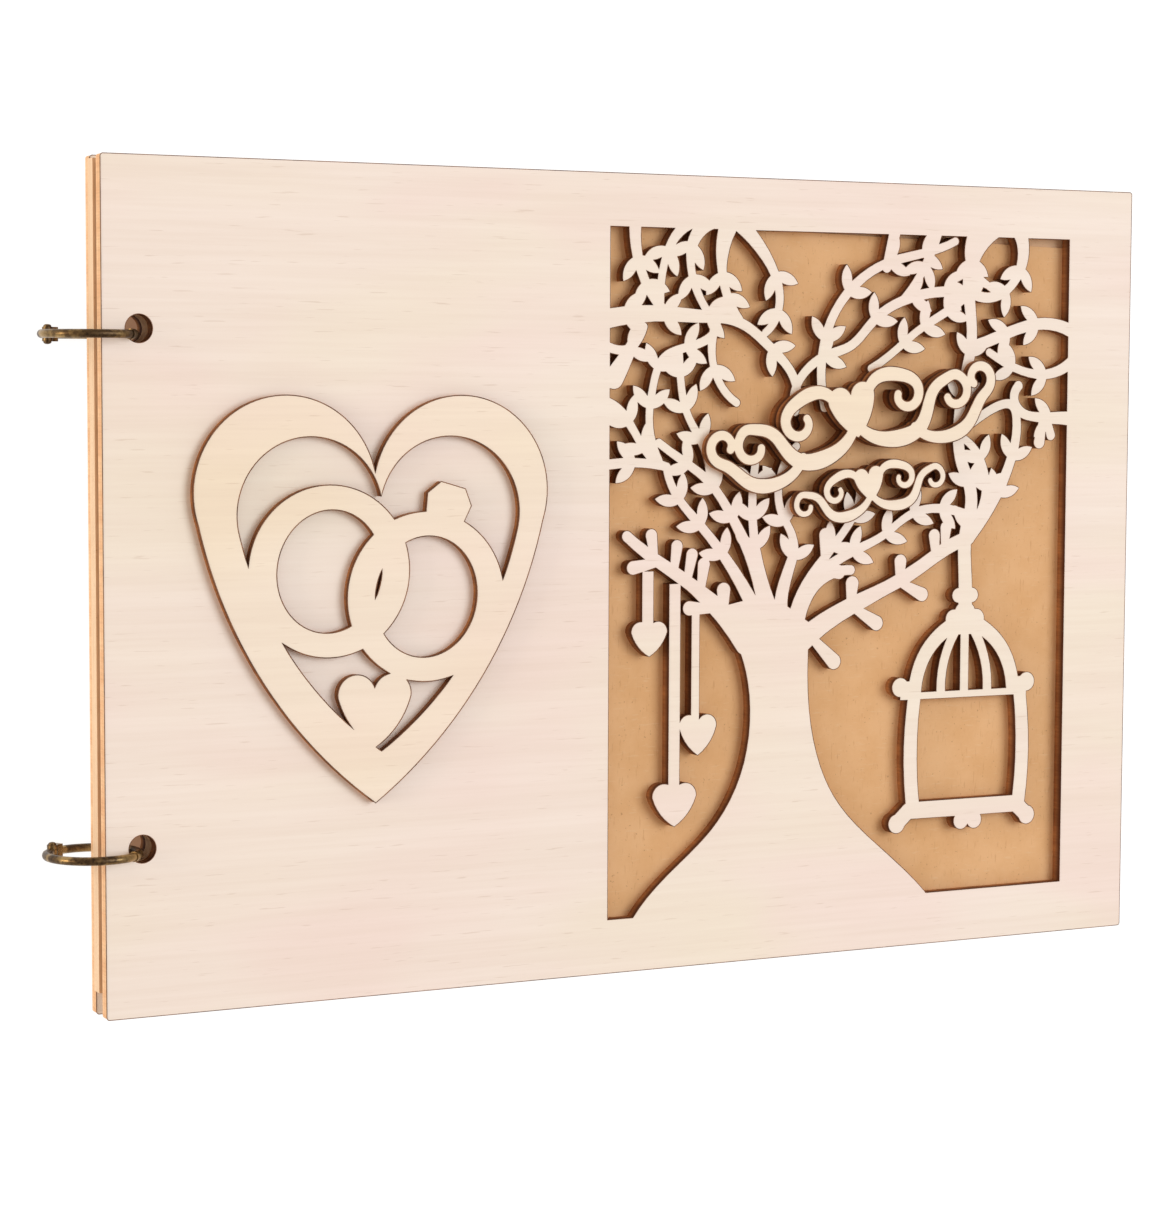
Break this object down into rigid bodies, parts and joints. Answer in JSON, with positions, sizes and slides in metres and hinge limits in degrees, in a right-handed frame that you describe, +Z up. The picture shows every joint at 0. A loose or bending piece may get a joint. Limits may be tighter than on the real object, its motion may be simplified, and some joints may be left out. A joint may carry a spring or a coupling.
{
  "type": "wedding guest book",
  "caption": "Ring-bound wedding guest book: plywood covers with a fretwork tree window and raised ornament, loose kraft pages and hinged book rings.",
  "frame": {"origin": "under the middle of the whole book with its rings, on the surface that the book lies on", "axes": "+X across the covers from the ring spine to the fore-edge, +Y up the page towards its head, +Z up out of the front cover"},
  "size_m": [0.2716, 0.18, 0.021],
  "materials": {
    "cover_plywood": "satin",
    "ornament_plywood": "satin",
    "kraft_card": "matte",
    "kraft_paper": "matte",
    "antique_bronze": "satin"
  },
  "bodies": {
    "back": {"back_cover": "cover_plywood"},
    "front": {"front_cover": "cover_plywood", "window_backing_card": "kraft_card", "heart_and_rings_ornament": "ornament_plywood", "upper_flourish": "ornament_plywood", "lower_flourish": "ornament_plywood"},
    "page_01": {"page_01": "kraft_paper"},
    "page_02": {"page_02": "kraft_paper"},
    "page_03": {"page_03": "kraft_paper"},
    "page_04": {"page_04": "kraft_paper"},
    "page_05": {"page_05": "kraft_paper"},
    "page_06": {"page_06": "kraft_paper"},
    "page_07": {"page_07": "kraft_paper"},
    "page_08": {"page_08": "kraft_paper"},
    "page_09": {"page_09": "kraft_paper"},
    "page_10": {"page_10": "kraft_paper"},
    "top_ring_fixed": {"top_ring_fixed_half": "antique_bronze", "top_ring_pin": "antique_bronze"},
    "top_ring_swinging": {"top_ring_swinging_half": "antique_bronze"},
    "bottom_ring_fixed": {"bottom_ring_fixed_half": "antique_bronze", "bottom_ring_pin": "antique_bronze"},
    "bottom_ring_swinging": {"bottom_ring_swinging_half": "antique_bronze"}
  },
  "joints": [
    {"name": "front_cover_hinge", "type": "hinge", "parent": "back", "child": "front", "pos_m": [-0.12535, 0, 0.0105], "axis": [0, 1, 0], "range_deg": [-180, 0]},
    {"name": "page_01_turn", "type": "hinge", "parent": "back", "child": "page_01", "pos_m": [-0.12535, 0, 0.0105], "axis": [0, 1, 0], "range_deg": [-163.69, 0]},
    {"name": "page_02_turn", "type": "hinge", "parent": "back", "child": "page_02", "pos_m": [-0.12535, 0, 0.0105], "axis": [0, 1, 0], "range_deg": [-147.32, 0]},
    {"name": "page_03_turn", "type": "hinge", "parent": "back", "child": "page_03", "pos_m": [-0.12535, 0, 0.0105], "axis": [0, 1, 0], "range_deg": [-130.96, 0]},
    {"name": "page_04_turn", "type": "hinge", "parent": "back", "child": "page_04", "pos_m": [-0.12535, 0, 0.0105], "axis": [0, 1, 0], "range_deg": [-114.6, 0]},
    {"name": "page_05_turn", "type": "hinge", "parent": "back", "child": "page_05", "pos_m": [-0.12535, 0, 0.0105], "axis": [0, 1, 0], "range_deg": [-98.23, 0]},
    {"name": "page_06_turn", "type": "hinge", "parent": "back", "child": "page_06", "pos_m": [-0.12535, 0, 0.0105], "axis": [0, 1, 0], "range_deg": [-81.87, 0]},
    {"name": "page_07_turn", "type": "hinge", "parent": "back", "child": "page_07", "pos_m": [-0.12535, 0, 0.0105], "axis": [0, 1, 0], "range_deg": [-65.5, 0]},
    {"name": "page_08_turn", "type": "hinge", "parent": "back", "child": "page_08", "pos_m": [-0.12535, 0, 0.0105], "axis": [0, 1, 0], "range_deg": [-49.14, 0]},
    {"name": "page_09_turn", "type": "hinge", "parent": "back", "child": "page_09", "pos_m": [-0.12535, 0, 0.0105], "axis": [0, 1, 0], "range_deg": [-32.78, 0]},
    {"name": "page_10_turn", "type": "hinge", "parent": "back", "child": "page_10", "pos_m": [-0.12535, 0, 0.0105], "axis": [0, 1, 0], "range_deg": [-16.41, 0]},
    {"name": "top_ring_turn", "type": "hinge", "parent": "back", "child": "top_ring_fixed", "pos_m": [-0.12535, 0.0531, 0.0105], "axis": [0, -1, 0], "range_deg": [-176, 78]},
    {"name": "top_ring_open", "type": "hinge", "parent": "top_ring_fixed", "child": "top_ring_swinging", "pos_m": [-0.13202, 0.0531, 0.00359], "axis": [0, -1, 0], "range_deg": [0, 60]},
    {"name": "bottom_ring_turn", "type": "hinge", "parent": "back", "child": "bottom_ring_fixed", "pos_m": [-0.12535, -0.0555, 0.0105], "axis": [0, -1, 0], "range_deg": [-176, 78]},
    {"name": "bottom_ring_open", "type": "hinge", "parent": "bottom_ring_fixed", "child": "bottom_ring_swinging", "pos_m": [-0.13202, -0.0555, 0.00359], "axis": [0, -1, 0], "range_deg": [0, 60]}
  ],
  "couplings": [
    {"joint": "page_01_turn", "follows": "front_cover_hinge", "ratio": 0.90909},
    {"joint": "page_02_turn", "follows": "front_cover_hinge", "ratio": 0.81818},
    {"joint": "page_03_turn", "follows": "front_cover_hinge", "ratio": 0.72727},
    {"joint": "page_04_turn", "follows": "front_cover_hinge", "ratio": 0.63636},
    {"joint": "page_05_turn", "follows": "front_cover_hinge", "ratio": 0.54546},
    {"joint": "page_06_turn", "follows": "front_cover_hinge", "ratio": 0.45454},
    {"joint": "page_07_turn", "follows": "front_cover_hinge", "ratio": 0.36364},
    {"joint": "page_08_turn", "follows": "front_cover_hinge", "ratio": 0.27273},
    {"joint": "page_09_turn", "follows": "front_cover_hinge", "ratio": 0.18182},
    {"joint": "page_10_turn", "follows": "front_cover_hinge", "ratio": 0.090909}
  ]
}
